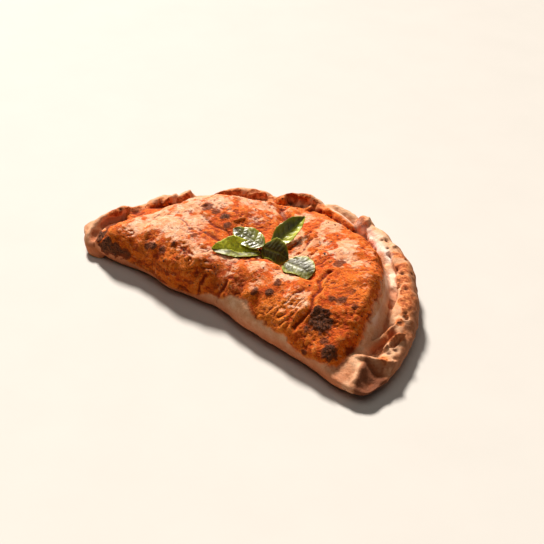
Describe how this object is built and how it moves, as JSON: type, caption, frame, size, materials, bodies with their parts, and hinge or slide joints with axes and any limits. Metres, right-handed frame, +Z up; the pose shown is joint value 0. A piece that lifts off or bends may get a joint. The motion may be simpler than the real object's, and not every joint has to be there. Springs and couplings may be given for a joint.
{
  "type": "calzone",
  "caption": "Baked calzone: folded half-moon pizza dough with a pleated crimped rim, tomato sauce and char spots on top, and a small sprig of basil leaves",
  "frame": {"origin": "on the flat underside, at the middle of the footprint", "axes": "+X runs along the fold, -Y is the folded front edge, +Y is the crimped round edge, +Z is up"},
  "size_m": [0.284, 0.168, 0.0488],
  "materials": {
    "baked_dough": "baked pizza dough: pale floury tan at the fold and rim, brushed with thin orange-red tomato sauce, browned and charred in spots",
    "basil_leaf": "fresh basil leaf, waxy dark green with a yellow-green edge and paler veins"
  },
  "bodies": {
    "root": {"crust": "baked_dough", "basil_sprig": "basil_leaf"}
  },
  "joints": []
}
